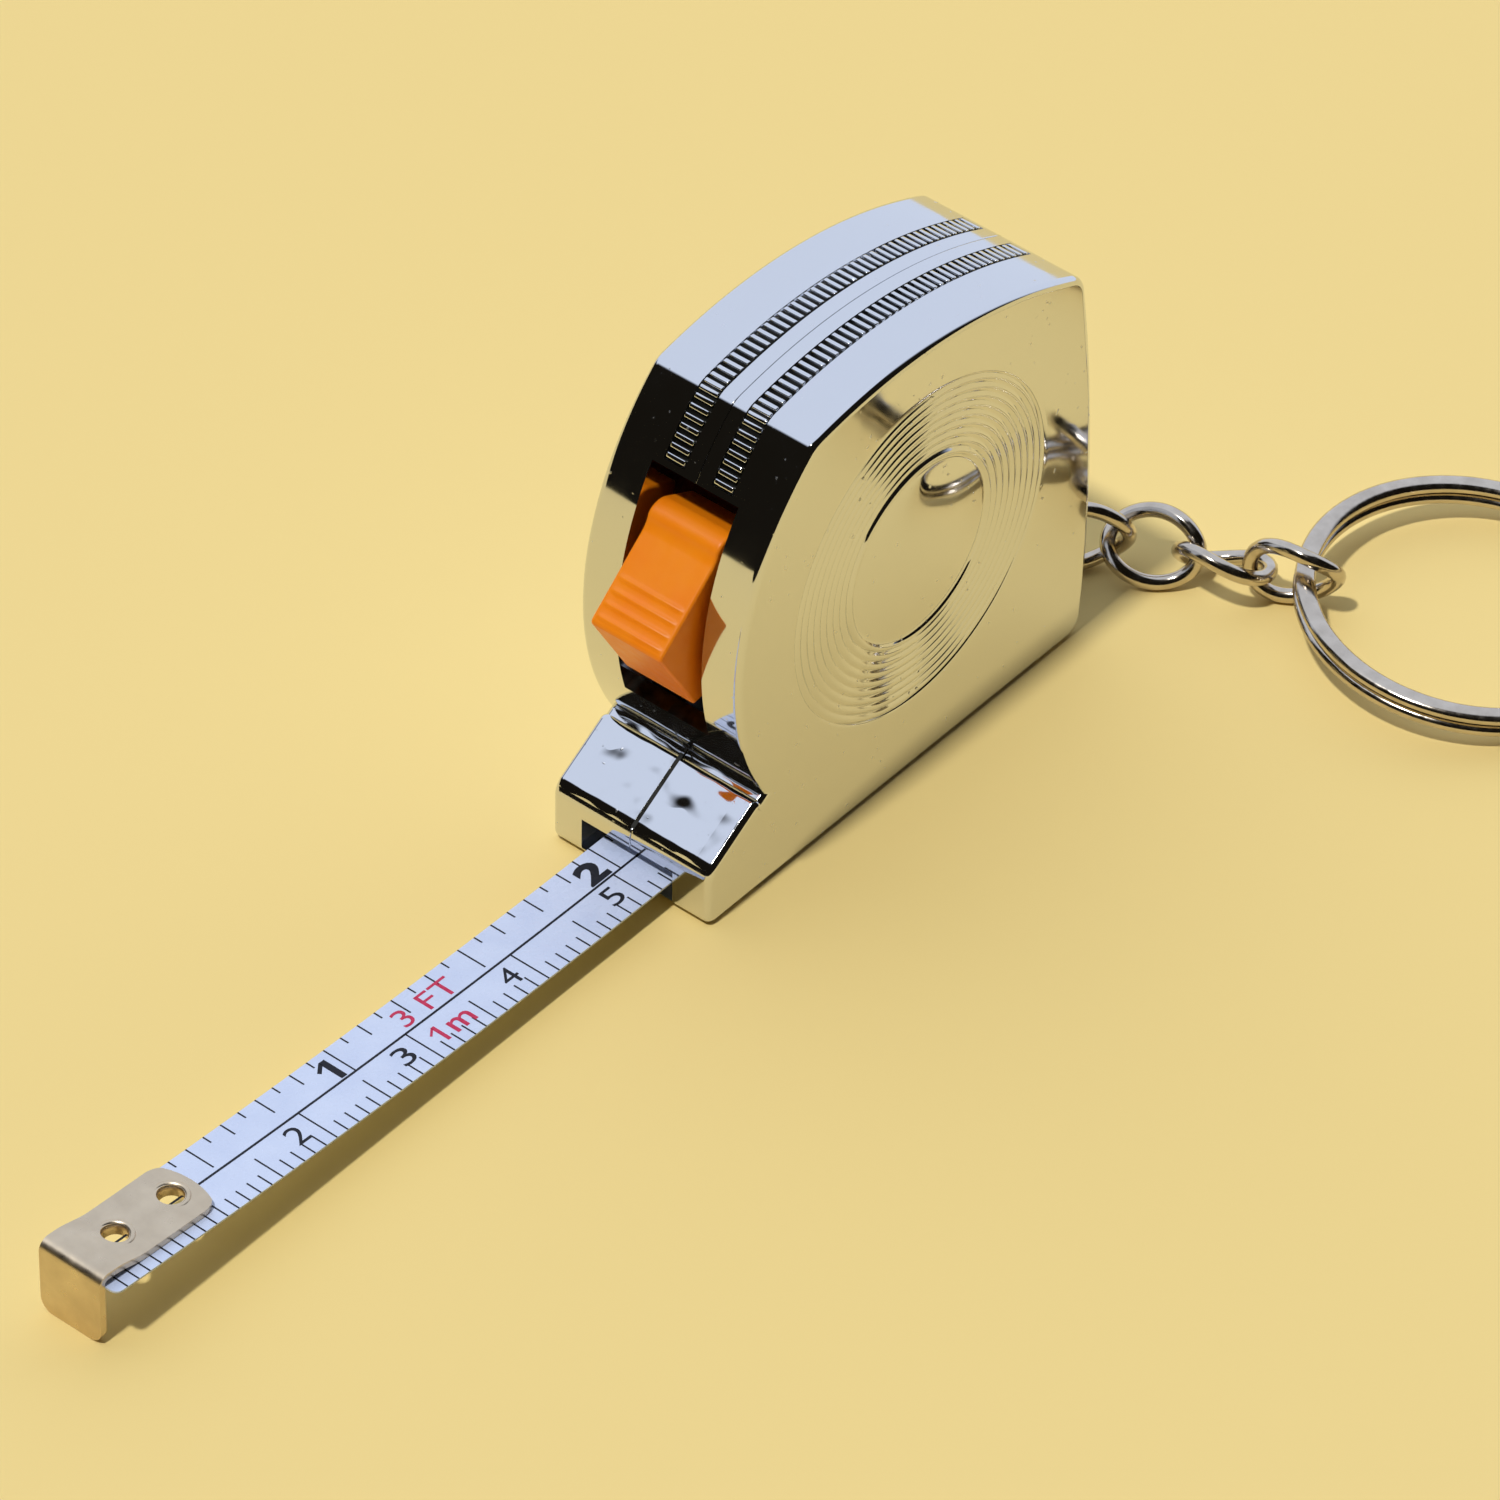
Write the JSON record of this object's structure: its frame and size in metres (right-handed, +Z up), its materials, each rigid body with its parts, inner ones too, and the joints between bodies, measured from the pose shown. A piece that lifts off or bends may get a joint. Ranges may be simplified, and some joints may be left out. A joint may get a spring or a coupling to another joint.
{
  "type": "pocket tape measure on a key chain",
  "caption": "Small chrome tape measure with an arched case, a curved thumb lock, a narrow blade with an end hook, and a twisted-link chain to a split ring.",
  "frame": {"origin": "on the plane of the case's two feet, midway along the case and on its parting plane", "axes": "+Z up; -X the way the blade is drawn out; the ringed side face looks to -Y; the chain leaves towards +X"},
  "size_m": [0.1195, 0.0446, 0.0356],
  "materials": {
    "chromed_case": "polished",
    "orange_plastic": "satin",
    "painted_blade": "gloss",
    "plated_steel": "polished",
    "dark_screw": "satin",
    "spring_steel": "satin",
    "pale_plastic": "matte"
  },
  "bodies": {
    "case": {"case_left": "chromed_case", "case_right": "chromed_case", "case_screw": "dark_screw", "return_spring": "spring_steel"},
    "slider": {"lock_slider": "orange_plastic"},
    "blade_end": {"blade_strip": "painted_blade", "hook": "plated_steel", "hook_rivet_1": "plated_steel", "hook_rivet_2": "plated_steel"},
    "reel": {"reel": "pale_plastic", "reel_cover": "pale_plastic", "blade_coil": "painted_blade"},
    "link_1": {"chain_link_1": "plated_steel"},
    "link_2": {"chain_link_2": "plated_steel"},
    "link_3": {"chain_link_3": "plated_steel"},
    "link_4": {"chain_link_4": "plated_steel"},
    "link_5": {"chain_link_5": "plated_steel"},
    "ring": {"key_ring": "plated_steel"}
  },
  "joints": [
    {"name": "lock_slide", "type": "hinge", "parent": "case", "child": "slider", "pos_m": [0.0045, 0, 0.0185], "axis": [0, 1, 0], "range_deg": [0, 5.8]},
    {"name": "reel_spin", "type": "hinge", "parent": "case", "child": "reel", "pos_m": [0.0013, 0, 0.0185], "axis": [0, 1, 0], "range_deg": [-238, 5590]},
    {"name": "blade_pull", "type": "slide", "parent": "case", "child": "blade_end", "axis": [-1, 0, 0], "range_m": [-0.0409, 0.948], "deforming": ["blade_strip"]},
    {"name": "chain_swing_1", "type": "hinge", "parent": "case", "child": "link_1", "pos_m": [0.018, 0, 0.0046], "axis": [0, -1, 0], "range_deg": [0, 30]},
    {"name": "chain_swing_2", "type": "hinge", "parent": "link_1", "child": "link_2", "pos_m": [0.02153, -0.00165, 0.0036], "axis": [0, 0, 1], "range_deg": [-20, 20]},
    {"name": "chain_swing_3", "type": "hinge", "parent": "link_2", "child": "link_3", "pos_m": [0.02531, -0.00449, 0.0025], "axis": [0, 0, 1], "range_deg": [-20, 20]},
    {"name": "chain_swing_4", "type": "hinge", "parent": "link_3", "child": "link_4", "pos_m": [0.02728, -0.00892, 0.00245], "axis": [0, 0, 1], "range_deg": [-20, 20]},
    {"name": "chain_swing_5", "type": "hinge", "parent": "link_4", "child": "link_5", "pos_m": [0.02917, -0.01338, 0.0023], "axis": [0, 0, 1], "range_deg": [-20, 20]},
    {"name": "ring_swing", "type": "hinge", "parent": "link_5", "child": "ring", "pos_m": [0.03009, -0.01638, 0.00325], "axis": [0, 0, 1], "range_deg": [-20, 20]}
  ],
  "couplings": [
    {"joint": "blade_pull", "follows": "reel_spin", "m_per_rad": 0.0097}
  ]
}
